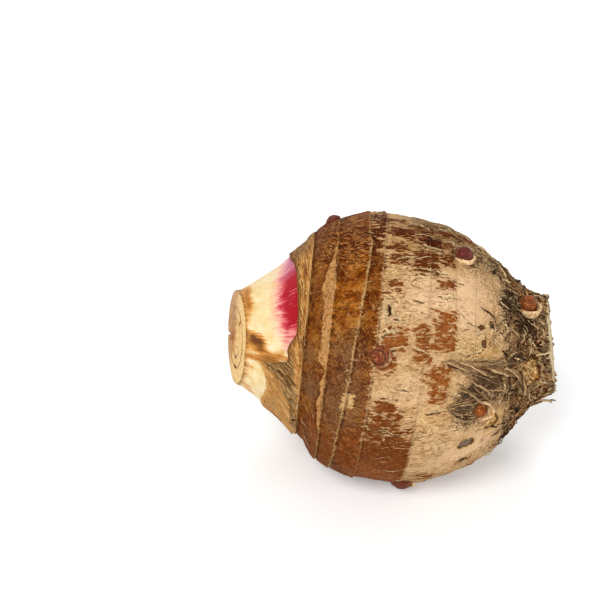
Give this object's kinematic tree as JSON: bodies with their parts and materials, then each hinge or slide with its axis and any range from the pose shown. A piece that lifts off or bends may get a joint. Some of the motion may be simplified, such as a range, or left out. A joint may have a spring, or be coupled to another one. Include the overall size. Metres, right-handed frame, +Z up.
{
  "type": "taro corm",
  "caption": "Round starchy root lying on its side: ringed brown and tan skin, side buds and dried roots, leaf stalks cut short at one end, cut neck at the other",
  "frame": {"origin": "on the floor, under the middle of the part's bounding box", "axes": "+X along the corm from the cut leaf stalks to the cut neck, +Y to the back, +Z up from the floor that the belly rests on"},
  "size_m": [0.1138, 0.0898, 0.0897],
  "materials": {
    "corm_skin": "matt corky skin, rust-brown fibrous bands and peeled tan areas",
    "stalk_flesh": "moist smooth cream flesh flushed crimson at the base, browned at the cuts",
    "papery_sheath": "dry papery fibrous olive-brown sheath",
    "bud_scale": "satin red-brown scales, cream at the foot",
    "root_bark": "dry grey-brown wrinkled root"
  },
  "bodies": {
    "root": {"corm": "corm_skin", "leaf_stalk_front": "stalk_flesh", "leaf_stalk_lower": "stalk_flesh", "leaf_stalk_inner": "stalk_flesh", "leaf_stalk_wedge": "stalk_flesh", "leaf_stalk_heart": "stalk_flesh", "dry_collar": "papery_sheath", "bud_shoulder": "bud_scale", "bud_neck": "bud_scale", "bud_band": "bud_scale", "bud_open": "bud_scale", "bud_belly": "bud_scale", "bud_crown": "bud_scale", "bud_back_upper": "bud_scale", "bud_back_lower": "bud_scale", "bud_back_shoulder": "bud_scale", "bud_under_neck": "bud_scale", "root_long": "root_bark", "root_stub_front": "root_bark", "root_stub_top": "root_bark", "root_back": "root_bark", "root_stub_back": "root_bark", "root_under": "root_bark"}
  },
  "joints": []
}
